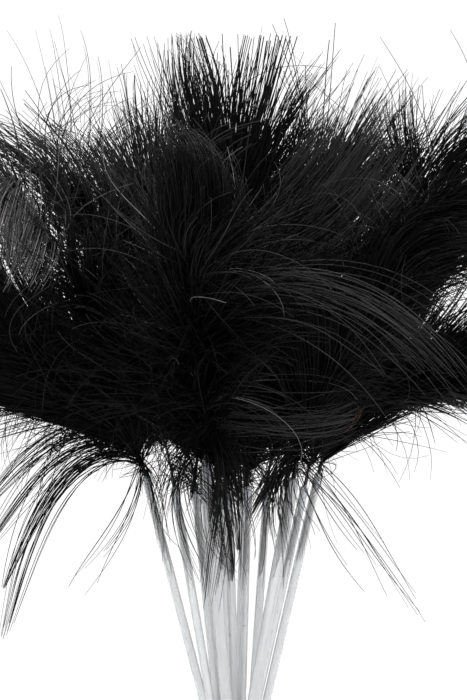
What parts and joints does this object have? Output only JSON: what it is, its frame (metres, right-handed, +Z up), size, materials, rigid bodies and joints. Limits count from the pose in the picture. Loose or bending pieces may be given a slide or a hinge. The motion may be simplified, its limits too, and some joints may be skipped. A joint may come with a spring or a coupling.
{
  "type": "feather plume bunch",
  "caption": "Hand-tied bunch of fluffy black feather plumes, each glued into a thin translucent tube stem, with an elastic band round the stems.",
  "frame": {"origin": "centre of the open lower end of the middle tube", "axes": "+Z up the upright middle tube towards the plumes, +X to the bunch's right-hand side, -Y to its front"},
  "size_m": [0.217, 0.185, 0.3056],
  "materials": {
    "tube_plastic": "translucent frosted white plastic",
    "glue": "milky hot-melt glue",
    "quill": "dyed black feather shaft, satin",
    "plume": "dyed black down, soft sheen",
    "elastic": "natural rubber band"
  },
  "bodies": {
    "root": {"stem_tube_1": "tube_plastic", "stem_tube_2": "tube_plastic", "stem_tube_3": "tube_plastic", "stem_tube_4": "tube_plastic", "stem_tube_5": "tube_plastic", "stem_tube_6": "tube_plastic", "stem_tube_7": "tube_plastic", "stem_tube_8": "tube_plastic", "stem_tube_9": "tube_plastic", "stem_tube_10": "tube_plastic", "stem_tube_11": "tube_plastic", "stem_tube_12": "tube_plastic", "stem_tube_13": "tube_plastic", "stem_tube_14": "tube_plastic", "glue_plug_1": "glue", "glue_plug_2": "glue", "glue_plug_3": "glue", "glue_plug_4": "glue", "glue_plug_5": "glue", "glue_plug_6": "glue", "glue_plug_7": "glue", "glue_plug_8": "glue", "glue_plug_9": "glue", "glue_plug_10": "glue", "glue_plug_11": "glue", "glue_plug_12": "glue", "glue_plug_13": "glue", "glue_plug_14": "glue", "quill_1": "quill", "quill_2": "quill", "quill_3": "quill", "quill_4": "quill", "quill_5": "quill", "quill_6": "quill", "quill_7": "quill", "quill_8": "quill", "quill_9": "quill", "quill_10": "quill", "quill_11": "quill", "quill_12": "quill", "quill_13": "quill", "quill_14": "quill", "plume_1": "plume", "plume_2": "plume", "plume_3": "plume", "plume_4": "plume", "plume_5": "plume", "plume_6": "plume", "plume_7": "plume", "plume_8": "plume", "plume_9": "plume", "plume_10": "plume", "plume_11": "plume", "plume_12": "plume", "plume_13": "plume", "plume_14": "plume", "elastic_band": "elastic"}
  },
  "joints": []
}
